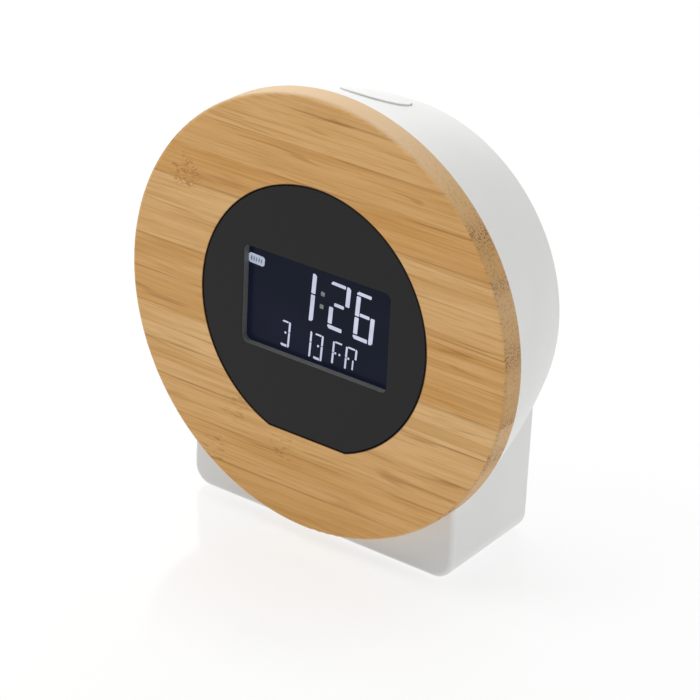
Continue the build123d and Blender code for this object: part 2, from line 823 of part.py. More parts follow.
# Round button: a cap that follows the body's slope, a flange that keeps it in, a post
cap_form = body_form(-button_rise, face_thickness, foot_front_round, rear_round, foot_rear_round)
flange_form = inner_form(shell_wall + button_flange_gap, face_thickness)
button_floor_form = inner_form(
    shell_wall + button_flange_gap + button_flange_thickness, face_thickness - overrun
)
cap_hollow_form = inner_form(button_wall, face_thickness)
with BuildPart() as button_disc:
    with BuildSketch(at_height(button_base)):
        with Locations((0, button_depth)):
            Circle(button_radius + button_flange)
    extrude(amount=body_top - button_base)
    add(flange_form, mode=Mode.INTERSECT)
with BuildPart() as button_room:
    with BuildSketch(at_height(button_base)):
        with Locations((0, button_depth)):
            Circle(button_radius - button_wall)
    extrude(amount=body_top - button_base)
    add(cap_hollow_form, mode=Mode.INTERSECT)
with BuildPart() as top_button:
    with BuildSketch(at_height(button_base)):
        with Locations((0, button_depth)):
            Circle(button_radius)
    extrude(amount=body_top - button_base)
    add(cap_form, mode=Mode.INTERSECT)
    add(button_disc.part)
    add(button_floor_form, mode=Mode.SUBTRACT)
    add(button_room.part, mode=Mode.SUBTRACT)
    with BuildSketch(at_height(post_bottom)):
        with Locations((0, button_depth)):
            Circle(button_post_radius)
    extrude(amount=button_middle - button_wall / 2 - post_bottom)
top_button.part.label = "top_button"
export_step(top_button.part, "parts/top_button.step")

# Small board on the shelf, with the switch that the button's post presses
with BuildPart() as switch_board:
    with BuildSketch(at_height(shelf_top)):
        with Locations((0, switch_board_front)):
            Rectangle(
                2 * switch_board_half_width,
                switch_board_back - switch_board_front,
                align=(Align.CENTER, Align.MIN),
            )
        with Locations(*shelf_screw_places):
            Circle(screw_radius + screw_fit, mode=Mode.SUBTRACT)
    extrude(amount=board_thickness)
switch_board.part.label = "switch_board"
export_step(switch_board.part, "parts/switch_board.step")

with BuildPart() as top_switch:
    with BuildSketch(at_height(switch_board_top)):
        with Locations((0, button_depth)):
            Rectangle(switch_size, switch_size)
    extrude(amount=switch_height)
    with BuildSketch(at_height(switch_top)):
        with Locations((0, button_depth)):
            Circle(switch_stem_radius + switch_stem_gap)
    extrude(amount=-switch_stem_sunk - button_travel, mode=Mode.SUBTRACT)
top_switch.part.label = "top_switch"
export_step(top_switch.part, "parts/top_switch.step")

with BuildPart() as top_switch_stem:
    with BuildSketch(at_height(post_bottom)):
        with Locations((0, button_depth)):
            Circle(switch_stem_radius)
    extrude(amount=-switch_stem_proud - switch_stem_sunk + switch_stem_gap)
top_switch_stem.part.label = "top_switch_stem"
export_step(top_switch_stem.part, "parts/top_switch_stem.step")

switch_board_screws = pan_screws(
    at_height(switch_board_top),
    shelf_screw_places,
    shelf_screw_length,
    screw_radius - screw_bite,
    screw_head_radius,
    screw_head_height,
)
switch_board_screws.label = "switch_board_screws"
export_step(switch_board_screws, "parts/switch_board_screws.step")

# Keys on the back: caps with a flange inside the wall, each over its own switch stem
key_names = ["mode", "set", "up", "down"]
for key_name, key_place in zip(key_names, key_places):
    with BuildPart() as key:
        with BuildSketch(at_depth(body_depth + key_proud)):
            with Locations(key_place):
                Circle(key_radius)
        extrude(amount=key_proud + body_depth - key_flange_back)
        fillet(key.faces().sort_by(Axis.Y)[-1].edges(), key_edge_round)
        with BuildSketch(at_depth(key_flange_back)):
            with Locations(key_place):
                Circle(key_radius + key_flange)
        extrude(amount=key_flange_thickness)
    key.part.label = f"key_{key_name}"
    export_step(key.part, f"parts/key_{key_name}.step")
    with BuildPart() as stem:
        with BuildSketch(at_depth(key_flange_front)):
            with Locations(key_place):
                Circle(switch_stem_radius)
        extrude(amount=key_stem_proud + switch_stem_sunk - switch_stem_gap)
    stem.part.label = f"stem_{key_name}"
    export_step(stem.part, f"parts/stem_{key_name}.step")

with BuildPart() as key_switches:
    with BuildSketch(at_depth(key_switch_back)):
        with Locations(*key_places):
            Rectangle(switch_size, switch_size)
    extrude(amount=switch_height)
    with BuildSketch(at_depth(key_switch_back)):
        with Locations(*key_places):
            Circle(switch_stem_radius + switch_stem_gap)
    extrude(amount=switch_stem_sunk + key_travel, mode=Mode.SUBTRACT)
key_switches.part.label = "key_switches"
export_step(key_switches.part, "parts/key_switches.step")

with BuildPart() as key_board:
    with BuildSketch(at_depth(key_board_back)):
        with Locations((0, key_row_up)):
            Rectangle(2 * key_board_half_width, key_board_height)
        with Locations((0, key_row_up)):
            Rectangle(
                2 * (buzzer_radius + board_thickness),
                key_row_up - buzzer_up + buzzer_radius + board_thickness,
                align=(Align.CENTER, Align.MAX),
            )
        with Locations(*key_post_places):
            Circle(screw_radius + screw_fit, mode=Mode.SUBTRACT)
    extrude(amount=board_thickness)
key_board.part.label = "key_board"
export_step(key_board.part, "parts/key_board.step")

key_board_screws = pan_screws(
    at_depth(key_board_front),
    key_post_places,
    board_screw_length,
    screw_radius - screw_bite,
    screw_head_radius,
    screw_head_height,
)
key_board_screws.label = "key_board_screws"
export_step(key_board_screws, "parts/key_board_screws.step")

with BuildPart() as buzzer:
    with BuildSketch(at_depth(key_board_back + buzzer_height)):
        with Locations((0, buzzer_up)):
            Circle(buzzer_radius)
    extrude(amount=buzzer_height)
    fillet(buzzer.faces().sort_by(Axis.Y)[-1].edges(), key_edge_round)
    with BuildSketch(at_depth(key_board_back + buzzer_height)):
        with Locations((0, buzzer_up)):
            Circle(buzzer_bore)
    extrude(amount=buzzer_height / 2, mode=Mode.SUBTRACT)
buzzer.part.label = "buzzer"
export_step(buzzer.part, "parts/buzzer.step")

# Alarm switch: a case on the key board and a ribbed slider that reaches through the wall
slide_case_back = key_board_back + slide_case_height
slide_plate_front = slide_case_back + slide_gap / 2
slide_plate_back = slide_plate_front + slide_plate_thickness
knob_back = body_depth + slide_knob_proud
with BuildPart() as alarm_switch:
    with BuildSketch(at_depth(slide_case_back)):
        with Locations((slide_across, key_row_up)):
            Rectangle(slide_case_length, slide_case_width)
    extrude(amount=slide_case_height)
    with BuildSketch(at_depth(slide_case_back)):
        with Locations((slide_across, key_row_up)):
            Rectangle(slide_pin + slide_travel + 2 * slide_gap, slide_pin + 2 * slide_gap)
    extrude(amount=slide_pin_sunk + slide_gap, mode=Mode.SUBTRACT)
alarm_switch.part.label = "alarm_switch"
export_step(alarm_switch.part, "parts/alarm_switch.step")

with BuildPart() as alarm_slider:
    with BuildSketch(at_depth(slide_plate_back)):
        with Locations((slide_across, key_row_up)):
            Rectangle(slide_plate_length, slide_plate_width)
    extrude(amount=slide_plate_thickness)
    with BuildSketch(at_depth(slide_plate_front)):
        with Locations((slide_across, key_row_up)):
            Rectangle(slide_pin, slide_pin)
    extrude(amount=slide_plate_front - slide_case_back + slide_pin_sunk)
    with BuildSketch(at_depth(knob_back)):
        with Locations((slide_across, key_row_up)):
            Rectangle(slide_knob_length, slide_knob_width)
    extrude(amount=knob_back - slide_plate_back)
    with BuildSketch(at_depth(knob_back)):
        with Locations((slide_across, key_row_up)):
            with GridLocations(slide_knob_length / slide_rib_count, 0, slide_rib_count, 1):
                Rectangle(slide_knob_length / slide_rib_count / 2, slide_knob_width)
    extrude(amount=slide_rib_depth, mode=Mode.SUBTRACT)
alarm_slider.part.label = "alarm_slider"
export_step(alarm_slider.part, "parts/alarm_slider.step")

# Battery door: a flush lid with a lip inside the bay's mouth and grip grooves
with BuildPart() as battery_door:
    with BuildSketch(at_depth(body_depth)):
        with Locations((0, -bay_drop)):
            RectangleRounded(2 * door_half_width, 2 * door_half_height, door_corner)
    extrude(amount=door_thickness)
    fillet(battery_door.faces().sort_by(Axis.Y)[-1].edges(), door_edge_round)
    with BuildSketch(at_depth(door_inside)):
        with Locations((0, -bay_drop)):
            Rectangle(2 * (bay_half_width - door_gap), 2 * (bay_half_height - door_gap))
            Rectangle(
                2 * (bay_half_width - door_gap - contact_room),
                2 * (bay_half_height - door_gap - door_lip),
                mode=Mode.SUBTRACT,
            )
            Rectangle(
                2 * bay_half_width, 2 * (bay_half_height - door_gap - door_lip), mode=Mode.SUBTRACT
            )
    extrude(amount=door_lip_depth)
    with BuildSketch(at_depth(body_depth)):
        with Locations((0, -bay_drop + grip_drop)):
            with GridLocations(0, grip_pitch, 1, grip_count):
                SlotOverall(grip_length, grip_width)
    extrude(amount=grip_depth, mode=Mode.SUBTRACT)
battery_door.part.label = "battery_door"
export_step(battery_door.part, "parts/battery_door.step")

# Two cells side by side, pointing opposite ways
upper_cell_up = -bay_drop + cell_pitch / 2
lower_cell_up = -bay_drop - cell_pitch / 2
cell_body_length = cell_length - cell_nub_length
upper_cell_left = -bay_half_width + spring_room
with BuildPart() as battery_upper:
    with BuildSketch(side.offset(upper_cell_left)):
        with Locations((cell_depth, upper_cell_up)):
            Circle(cell_radius)
    extrude(amount=cell_body_length)
    fillet(battery_upper.edges().filter_by(GeomType.CIRCLE), cell_clearance)
    with BuildSketch(side.offset(upper_cell_left + cell_body_length)):
        with Locations((cell_depth, upper_cell_up)):
            Circle(cell_nub_radius)
    extrude(amount=cell_nub_length)
battery_upper.part.label = "battery_upper"
export_step(battery_upper.part, "parts/battery_upper.step")

with BuildPart() as battery_lower:
    with BuildSketch(side.offset(-upper_cell_left)):
        with Locations((cell_depth, lower_cell_up)):
            Circle(cell_radius)
    extrude(amount=-cell_body_length)
    fillet(battery_lower.edges().filter_by(GeomType.CIRCLE), cell_clearance)
    with BuildSketch(side.offset(-upper_cell_left - cell_body_length)):
        with Locations((cell_depth, lower_cell_up)):
            Circle(cell_nub_radius)
    extrude(amount=-cell_nub_length)
battery_lower.part.label = "battery_lower"
export_step(battery_lower.part, "parts/battery_lower.step")

# Contacts: one bridge across the left end, two plates with tails at the right end
bump_height = bump_room - contact_thickness - seat_gap / 2
with BuildPart() as bridge_contact:
    with BuildSketch(side.offset(-bay_half_width)):
        with Locations((cell_depth, -bay_drop)):
            Rectangle(contact_width, cell_pitch + contact_width)
    extrude(amount=contact_thickness)
    with BuildSketch(side.offset(-bay_half_width + contact_thickness)):
        with Locations((cell_depth, lower_cell_up)):
            Circle(contact_bump_radius)
    extrude(amount=bump_height, taper=math.degrees(side_slope))
bridge_contact.part.label = "bridge_contact"
export_step(bridge_contact.part, "parts/bridge_contact.step")

tail_front = bay_front - contact_tail_length
for contact_name, contact_up in [("positive_contact", upper_cell_up), ("negative_contact", lower_cell_up)]:
    with BuildPart() as contact:
        with BuildSketch(side.offset(bay_half_width)):
            with Locations((cell_depth, contact_up)):
                Rectangle(contact_width, contact_width)
            with Locations((tail_front, contact_up)):
                Rectangle(
                    cell_depth - tail_front, contact_tail_width, align=(Align.MIN, Align.CENTER)
                )
        extrude(amount=-contact_thickness)
        if contact_name == "positive_contact":
            with BuildSketch(side.offset(bay_half_width - contact_thickness)):
                with Locations((cell_depth, contact_up)):
                    Circle(contact_bump_radius)
            extrude(amount=-bump_height, taper=math.degrees(side_slope))
    contact.part.label = contact_name
    export_step(contact.part, f"parts/{contact_name}.step")

# Coil springs that press on the flat ends of the cells
spring_height = spring_room - contact_thickness - spring_wire - seat_gap
coil_starts = [
    (-bay_half_width + contact_thickness + (spring_wire + seat_gap) / 2, upper_cell_up, 1),
    (bay_half_width - contact_thickness - (spring_wire + seat_gap) / 2, lower_cell_up, -1),
]
coils = []
for coil_across, coil_up, heading in coil_starts:
    with BuildPart() as coil:
        with BuildLine() as turns:
            Helix(
                pitch=spring_height / spring_turns,
                height=spring_height,
                radius=spring_radius,
                center=place(coil_across, cell_depth, coil_up),
                direction=(heading, 0, 0),
            )
        with BuildSketch(Plane(origin=turns.line @ 0, z_dir=turns.line % 0)):
            Circle(spring_wire / 2)
        sweep(is_frenet=True)
    coils.append(coil.part)
with BuildPart() as battery_springs:
    add(coils)
battery_springs.part.label = "battery_springs"
export_step(battery_springs.part, "parts/battery_springs.step")

# Leads from the contact tails to the main board, and from the switch board to it
pad_drop = stack_half_height - header_width
lead_inset = bay_half_width - contact_thickness - lead_radius
battery_lead_ends = [(upper_cell_up, boss_across - boss_radius - header_width), (lower_cell_up, 0)]
battery_runs = []
for lead_up, pad_across_board in battery_lead_ends:
    points = [
        place(lead_inset, bay_front - seat_gap, lead_up),
        place(lead_inset, (bay_front + board_back) / 2, lead_up),
        place(pad_across_board, board_back + 2 * lead_bend, -pad_drop),
        place(pad_across_board, board_back, -pad_drop),
    ]
    with BuildPart() as run:
        with BuildLine() as route:
            FilletPolyline(*points, radius=lead_bend)
        with BuildSketch(Plane(origin=route.line @ 0, z_dir=route.line % 0)):
            Circle(lead_radius)
        sweep()
    battery_runs.append(run.part)
with BuildPart() as battery_leads:
    add(battery_runs)
battery_leads.part.label = "battery_leads"
export_step(battery_leads.part, "parts/battery_leads.step")

switch_pad_depth = (switch_board_front + shelf_front) / 2
switch_runs = []
for lead_offset in (-2 * lead_radius, 2 * lead_radius):
    start_across = shelf_screw_across + lead_offset
    end_across = crystal_across + lead_offset
    points = [
        place(start_across, switch_pad_depth, shelf_top),
        place(start_across, switch_pad_depth, shelf_top - 3 * lead_bend),
        place(end_across, board_back + 2 * lead_bend, ribbon_up),
        place(end_across, board_back, ribbon_up),
    ]
    with BuildPart() as run:
        with BuildLine() as route:
            FilletPolyline(*points, radius=lead_bend)
        with BuildSketch(Plane(origin=route.line @ 0, z_dir=route.line % 0)):
            Circle(lead_radius)
        sweep()
    switch_runs.append(run.part)
with BuildPart() as switch_leads:
    add(switch_runs)
switch_leads.part.label = "switch_leads"
export_step(switch_leads.part, "parts/switch_leads.step")

# Flat ribbon between the main board and the key board, plugged in at both ends
with BuildPart() as ribbon_headers:
    with BuildSketch(at_depth(board_back + header_height)):
        with Locations((ribbon_across, ribbon_up)):
            Rectangle(header_length, header_width)
    extrude(amount=header_height)
    with BuildSketch(at_depth(key_board_front)):
        with Locations((ribbon_across, key_row_up)):
            Rectangle(header_length, header_width)
    extrude(amount=header_height)
ribbon_headers.part.label = "ribbon_headers"
export_step(ribbon_headers.part, "parts/ribbon_headers.step")

ribbon_start = board_back + header_height
ribbon_end = key_board_front - header_height
ribbon_middle = (ribbon_start + ribbon_end) / 2
ribbon_rise = (ribbon_up + key_row_up) / 2 + ribbon_bow
half_ribbon = ribbon_thickness / 2
with BuildPart() as ribbon_cable:
    with BuildSketch(side.offset(ribbon_across - ribbon_width / 2)):
        with BuildLine():
            top = ThreePointArc(
                (ribbon_start, ribbon_up + half_ribbon),
                (ribbon_middle, ribbon_rise + half_ribbon),
                (ribbon_end, key_row_up + half_ribbon),
            )
            underside = ThreePointArc(
                (ribbon_start, ribbon_up - half_ribbon),
                (ribbon_middle, ribbon_rise - half_ribbon),
                (ribbon_end, key_row_up - half_ribbon),
            )
            Line(top @ 0, underside @ 0)
            Line(top @ 1, underside @ 1)
        make_face()
    extrude(amount=ribbon_width)
ribbon_cable.part.label = "ribbon_cable"
export_step(ribbon_cable.part, "parts/ribbon_cable.step")
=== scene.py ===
import bpy
import math
from mathutils import Matrix, Vector


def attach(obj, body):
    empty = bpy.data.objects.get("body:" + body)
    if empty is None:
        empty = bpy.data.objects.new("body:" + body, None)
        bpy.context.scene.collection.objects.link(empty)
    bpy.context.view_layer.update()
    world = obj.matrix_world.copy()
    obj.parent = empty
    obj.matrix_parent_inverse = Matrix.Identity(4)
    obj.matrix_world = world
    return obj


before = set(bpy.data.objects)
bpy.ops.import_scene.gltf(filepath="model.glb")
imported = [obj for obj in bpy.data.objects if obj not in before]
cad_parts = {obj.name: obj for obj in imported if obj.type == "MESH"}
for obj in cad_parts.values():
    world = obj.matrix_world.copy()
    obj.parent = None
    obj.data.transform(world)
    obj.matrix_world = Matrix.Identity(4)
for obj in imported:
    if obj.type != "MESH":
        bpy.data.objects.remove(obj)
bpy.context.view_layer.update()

# How the clock stands. All of it but the underside of the foot is square to a face that leans
# back a little. Places below are millimetres across, behind and above the middle of the front
# of the bamboo, and at() turns them into the frame's metres.
lean = math.radians(3.0)
millimetre = 0.001
to_leaning = Matrix.Rotation(lean, 3, "X")


def leaning_box(node):
    """Lowest and highest corner of a CAD node along the leaning axes, in metres."""
    points = [to_leaning @ vertex.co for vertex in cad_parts[node].data.vertices]
    return Vector(map(min, *points)), Vector(map(max, *points))


face_low, face_high = leaning_box("bamboo_face")
face_middle = (face_low + face_high) / 2
face_middle.y = face_low.y


def at(across, depth, up):
    """The frame's point at a place in the leaning clock."""
    return to_leaning.transposed() @ (face_middle + Vector((across, depth, up)) * millimetre)


# Camera of the product shot: a long lens, from the right and above, turned a little on its
# own axis as it is in the photograph.
view_azimuth = math.radians(36.07)
view_elevation = math.radians(25.54)
view_roll = math.radians(2.74)
view_distance = 871.4
view_aim = Vector((13.51, 0.0, -4.58))
lens_length = 163.68

view_turn = (
    Matrix.Rotation(view_azimuth, 3, "Z")
    @ Matrix.Rotation(math.pi / 2 - view_elevation, 3, "X")
    @ Matrix.Rotation(view_roll, 3, "Z")
)
camera = bpy.data.objects.new("camera", bpy.data.cameras.new("camera"))
camera.data.lens = lens_length
camera.matrix_world = (
    Matrix.Translation(at(*(view_aim + view_turn.col[2] * view_distance)))
    @ (to_leaning.transposed() @ view_turn).to_4x4()
)
bpy.context.scene.collection.objects.link(camera)
bpy.context.scene.camera = camera
bpy.context.scene.view_settings.view_transform = "Standard"


# Studio: a pale table that glows, polished only where the clock stands, so that the mirror
# image fades towards the front, a dim room, and soft boxes all round, the strongest above and
# behind, so that the side of the foot stays in half shade.
class Wire:
    """An output socket of a finish. Arithmetic on it adds Math nodes to that finish."""

    def __init__(self, finish, socket):
        self.finish = finish
        self.socket = socket

    def __add__(self, other):
        return self.finish.math("ADD", self, other)

    def __radd__(self, other):
        return self.finish.math("ADD", other, self)

    def __sub__(self, other):
        return self.finish.math("SUBTRACT", self, other)

    def __rsub__(self, other):
        return self.finish.math("SUBTRACT", other, self)

    def __mul__(self, other):
        return self.finish.math("MULTIPLY", self, other)

    def __rmul__(self, other):
        return self.finish.math("MULTIPLY", other, self)

    def __truediv__(self, other):
        return self.finish.math("DIVIDE", self, other)

    def __abs__(self):
        return self.finish.math("ABSOLUTE", self)

    def __floor__(self):
        return self.finish.math("FLOOR", self)

    def rise(self, start, end):
        """0 before start and 1 after end, smooth between, or falling where end comes first."""
        ends = {"Value": self, "From Min": start, "From Max": end}
        return self.finish.node("ShaderNodeMapRange", {"interpolation_type": "SMOOTHSTEP"}, ends)


class Finish:
    """A material in the making. Its place is in the clock's leaning millimetres."""

    def __init__(self, name):
        self.material = bpy.data.materials.new(name)
        self.material.use_nodes = True
        self.nodes = self.material.node_tree.nodes
        self.nodes.clear()
        rest = self.node("ShaderNodeTexCoord", {}, {}, "Object")
        turned = {
            "Vector": rest,
            "Location": -face_middle / millimetre,
            "Rotation": (lean, 0.0, 0.0),
            "Scale": Vector((1.0, 1.0, 1.0)) / millimetre,
        }
        self.place = self.node("ShaderNodeMapping", {"vector_type": "POINT"}, turned)

    def node(self, kind, settings, inputs, output=0):
        """Adds a node with its settings and inputs, and gives one of its outputs."""
        node = self.nodes.new(kind)
        for name, value in settings.items():
            setattr(node, name, value)
        for name, value in inputs.items():
            if isinstance(value, Wire):
                self.material.node_tree.links.new(value.socket, node.inputs[name])
            else:
                node.inputs[name].default_value = value
        return Wire(self, node.outputs[output]) if node.outputs else None

    def math(self, operation, *terms):
        """A sum or another operation on wires and numbers."""
        return self.node("ShaderNodeMath", {"operation": operation}, dict(enumerate(terms)))

    def stretched(self, across, depth, up):
        """The place with its three axes scaled, for patterns that are longer one way."""
        factors = {0: self.place, 1: (across, depth, up)}
        return self.node("ShaderNodeVectorMath", {"operation": "MULTIPLY"}, factors)

    def noise(self, place, scale, detail, roughness=0.5):
        """Cloudy noise round 0.5, with this many blotches in a millimetre of the place."""
        inputs = {"Vector": place, "Scale": scale, "Detail": detail, "Roughness": roughness}
        return self.node("ShaderNodeTexNoise", {}, inputs)

    def blend(self, share, first, second):
        """Two colours mixed by the share of the second."""
        colours = {0: share, 6: first, 7: second}
        return self.node("ShaderNodeMix", {"data_type": "RGBA"}, colours, 2)

    def length(self, vector):
        """How far a vector reaches."""
        return self.node("ShaderNodeVectorMath", {"operation": "LENGTH"}, {0: vector}, "Value")

    def relief(self, height, depth, strength):
        """A bump whose height of 1 stands this many millimetres proud."""
        raised = {"Height": height, "Distance": depth * millimetre, "Strength": strength}
        return self.node("ShaderNodeBump", {}, raised)

    def surface(self, sockets):
        """Ends the finish in its shader."""
        shader = self.node("ShaderNodeBsdfPrincipled", {}, sockets)
        self.node("ShaderNodeOutputMaterial", {}, {"Surface": shader})
        return self.material

    def cover(self, *nodes):
        """Puts the finish on CAD nodes."""
        for node in nodes:
            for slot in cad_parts[node].material_slots:
                slot.material = self.material


table_half = 12.0
table_grey = 0.26
table_glow = 0.755
polish_start = 20.0
polish_end = 78.0
room_glow = 0.20
table = bpy.data.meshes.new("table")
table.from_pydata(
    [(x * table_half, y * table_half, 0.0) for x, y in ((-1, -1), (1, -1), (1, 1), (-1, 1))],
    [],
    [(0, 1, 2, 3)],
)
table_object = bpy.data.objects.new("table", table)
bpy.context.scene.collection.objects.link(table_object)
table_finish = Finish("table_acrylic")
table_away = table_finish.length(table_finish.stretched(1.0, 1.0, 0.0))
table.materials.append(
    table_finish.surface(
        {
            "Base Color": (table_grey, table_grey, table_grey, 1.0),
            "Roughness": 0.5,
            "Specular IOR Level": 0.0,
            "Coat Weight": table_away.rise(polish_end, polish_start),
            "Coat Roughness": 0.12,
            "Emission Color": (1.0, 1.0, 1.0, 1.0),
            "Emission Strength": table_glow,
        }
    )
)

room = bpy.data.worlds.new("room")
room.use_nodes = True
room.node_tree.nodes["Background"].inputs["Color"].default_value = (1.0, 1.0, 1.0, 1.0)
room.node_tree.nodes["Background"].inputs["Strength"].default_value = room_glow
bpy.context.scene.world = room

# Each soft box has its place, its width in metres and its power in watts.
soft_boxes = {
    "overhead": ((0.0, 0.0, 900.0), 0.9, 4.2),
    "behind": ((-700.0, 900.0, 600.0), 1.2, 5.9),
    "left": ((-900.0, 0.0, 400.0), 0.7, 3.0),
    "right": ((900.0, 0.0, 350.0), 0.7, 1.5),
    "steep": ((-350.0, -450.0, 850.0), 0.4, 1.8),
}
for name, (place, size, power) in soft_boxes.items():
    box = bpy.data.objects.new(name, bpy.data.lights.new(name, "AREA"))
    box.data.shape = "SQUARE"
    box.data.size = size
    box.data.energy = power
    box.location = at(*place)
    box.rotation_euler = (at(0.0, 0.0, 0.0) - box.location).to_track_quat("-Z", "Y").to_euler()
    bpy.context.scene.collection.objects.link(box)


# Bamboo face: strips of split cane glued edge to edge, turned round and its edges eased, then
# sealed with a thin satin oil. Fibres run across, so they show as fine streaks in front and as
# brown dots on the rim, densest where a strip was nearest the skin of the cane.
def colour(red, green, blue):
    """A colour from its display values of 0 to 255."""
    shares = [value / 255 for value in (red, green, blue)]
    return (*[s / 12.92 if s < 0.04045 else ((s + 0.055) / 1.055) ** 2.4 for s in shares], 1.0)


strip_height = 10.35
strip_start = 8.4
strip_waver = 0.9
shift_across, shift_depth = 47.0, 7.3
paleness_step, paleness_start = 0.22, 0.63
skin_step, skin_start = 0.377, 0.20
cane_pale = colour(240, 197, 139)
cane_warm = colour(227, 174, 108)
cane_brown = colour(196, 138, 58)
cane_dark = colour(146, 88, 28)
# Painted shade: the dark brown of the shadowed gap round the display's opening.
gap_shade_colour = colour(66, 44, 24)
# Pale grey of the rim, partly its own tone and partly a painted sheen of the lamps above.
rim_pale_and_sheen = colour(221, 193, 156)
rim_end = colour(200, 160, 109)
rim_dot = colour(118, 74, 38)
knuckle = (-45.5, 31.2)
knuckle_reach = (6.0, 5.0)
knuckle_turns = 8.0
scars = [(-25.5, -35.2), (-8.2, -41.7), (-33.3, -50.8)]
scar_reach = (5.5, 4.6)
panel_low, panel_high = leaning_box("display_panel")
opening_radius = (panel_high.x - panel_low.x) / 2 / millimetre
opening_bottom = (panel_low.z - face_middle.z) / millimetre
gap_shade_width = 0.65
face_radius = (face_high.x - face_low.x) / 2 / millimetre
rim_width = 0.75
rim_ease = 0.55

bamboo = Finish("oiled_bamboo")
face_across = bamboo.node("ShaderNodeSeparateXYZ", {}, {0: bamboo.place}, "X")
face_up = bamboo.node("ShaderNodeSeparateXYZ", {}, {0: bamboo.place}, "Z")
waver = bamboo.noise(bamboo.stretched(0.012, 0.012, 0.012), 1.0, 1.0)
strip_place = (face_up + strip_waver * (waver - 0.5) - strip_start) / strip_height
strip = math.floor(strip_place)
strip_share = strip_place - strip
paleness_turn = strip * paleness_step + paleness_start
paleness = paleness_turn - math.floor(paleness_turn)
skin_turn = strip * skin_step + skin_start
skin_up = (skin_turn - math.floor(skin_turn)).rise(0.49, 0.51)
shifts = {"X": strip * shift_across, "Y": strip * shift_depth}
shift = bamboo.node("ShaderNodeCombineXYZ", {}, shifts)
own_place = bamboo.node("ShaderNodeVectorMath", {"operation": "ADD"}, {0: bamboo.place, 1: shift})


def cane_place(length, height):
    """Place in a strip, shrunk by this length and height of grain in millimetres."""
    factors = {0: own_place, 1: (1 / length, 1 / height, 1 / height)}
    return bamboo.node("ShaderNodeVectorMath", {"operation": "MULTIPLY"}, factors)


def cane_noise(length, height, detail, roughness=0.5):
    """Noise of this grain, of its own in each strip."""
    return bamboo.noise(cane_place(length, height), 1.0, detail, roughness)


def cane_cells(length, height):
    """Distance from the middle of the nearest bundle of fibres, as a share of their spacing."""
    cells = {"Vector": cane_place(length, height), "Scale": 1.0}
    return bamboo.node("ShaderNodeTexVoronoi", {"feature": "F1"}, cells)


skin_side = strip_share * skin_up + (1 - strip_share) * (1 - skin_up)
dense = skin_side.rise(0.35, 1.0)
bundles = cane_cells(30.0, 0.95).rise(0.40, 0.22)
fine_bundles = cane_cells(24.0, 0.55).rise(0.46, 0.26)
fibres = bundles * (1 - dense) + fine_bundles * dense
streaks = cane_noise(13.0, 0.55, 3.0, 0.6)
long_streaks = cane_noise(55.0, 1.1, 2.0)
bands = cane_noise(70.0, 3.6, 2.0)
border = strip_share.rise(0.92, 1.0) + strip_share.rise(0.012, 0.0)
glue_share = cane_noise(45.0, 30.0, 1.0).rise(0.36, 0.56)
crack = abs(cane_noise(90.0, 5.5, 1.0) - 0.5).rise(0.024, 0.006)
crack_share = cane_noise(26.0, 4.0, 1.0).rise(0.50, 0.62)
lines = border * glue_share + 0.7 * crack * crack_share

# Knuckles of the cane: one is cut through its swirl, others leave a scatter of short scars.
dapple = cane_noise(4.0, 2.0, 1.0)


def spot(middle, reach):
    """A ragged oval round a place on the face."""
    aside = {"X": (face_across - middle[0]) / reach[0], "Y": (face_up - middle[1]) / reach[1]}
    away = bamboo.length(bamboo.node("ShaderNodeCombineXYZ", {}, aside))
    return (away + 0.9 * (dapple - 0.5)).rise(1.05, 0.70)


turns = knuckle_turns * cane_noise(5.5, 2.6, 1.0)
swirl = abs(turns - math.floor(turns) - 0.5).rise(0.22, 0.10)
marks = swirl * spot(knuckle, knuckle_reach)
scratches = cane_noise(2.6, 0.45, 1.0).rise(0.57, 0.66)
for scar in scars:
    marks = marks + scratches * spot(scar, scar_reach)

stains = [
    (bands.rise(0.44, 0.70) * 0.36, cane_brown),
    (long_streaks.rise(0.46, 0.74) * 0.42, cane_brown),
    (streaks.rise(0.46, 0.76) * 0.36, cane_brown),
    (fibres * (0.16 + 0.20 * dense), cane_brown),
    (marks * 0.42, cane_dark),
    (lines * 0.42, cane_dark),
]
tone = bamboo.blend(paleness, cane_warm, cane_pale)
for share, stain in stains:
    tone = bamboo.blend(share, tone, stain)

# A painted shade darkens the face round the edge of the opening, for the gap to the panel that
# lies in shadow. The rim is raw, and paler and greyer than the face: partly its own tone, partly
# a painted sheen of the lamps above. Its end grain shows the fibres as dots.
radius = bamboo.length(bamboo.node("ShaderNodeCombineXYZ", {}, {"X": face_across, "Y": face_up}))
painted_gap_shade = radius.rise(opening_radius + gap_shade_width, opening_radius + gap_shade_width / 2)
painted_gap_shade = painted_gap_shade * face_up.rise(opening_bottom - gap_shade_width, opening_bottom - gap_shade_width / 2)
tone = bamboo.blend(painted_gap_shade, tone, gap_shade_colour)

rim_start = face_radius - rim_width
rim = radius.rise(rim_start, rim_start + rim_ease)
end_tone = bamboo.blend(paleness * 0.35, rim_end, rim_pale_and_sheen)
end_tone = bamboo.blend(fibres * (0.30 + 0.55 * dense) + 0.15 * dense, end_tone, rim_dot)
# Where the rim runs across, at top and bottom, it takes the pale grey, partly a painted sheen.
side_tone_and_sheen = bamboo.blend(streaks.rise(0.46, 0.76) * 0.20, rim_pale_and_sheen, cane_warm)
rim_tone = bamboo.blend(abs(face_across / radius).rise(0.30, 0.85), side_tone_and_sheen, end_tone)
tone = bamboo.blend(rim * 0.9, tone, rim_tone)
bamboo_height = 0.6 * streaks - 0.5 * fibres - 1.0 * lines
bamboo.surface(
    {
        "Base Color": tone,
        "Roughness": 0.46 + 0.14 * streaks,
        "Specular IOR Level": 0.15,
        "Normal": bamboo.relief(bamboo_height, 0.03, 0.25),
    }
)
bamboo.cover("bamboo_face")

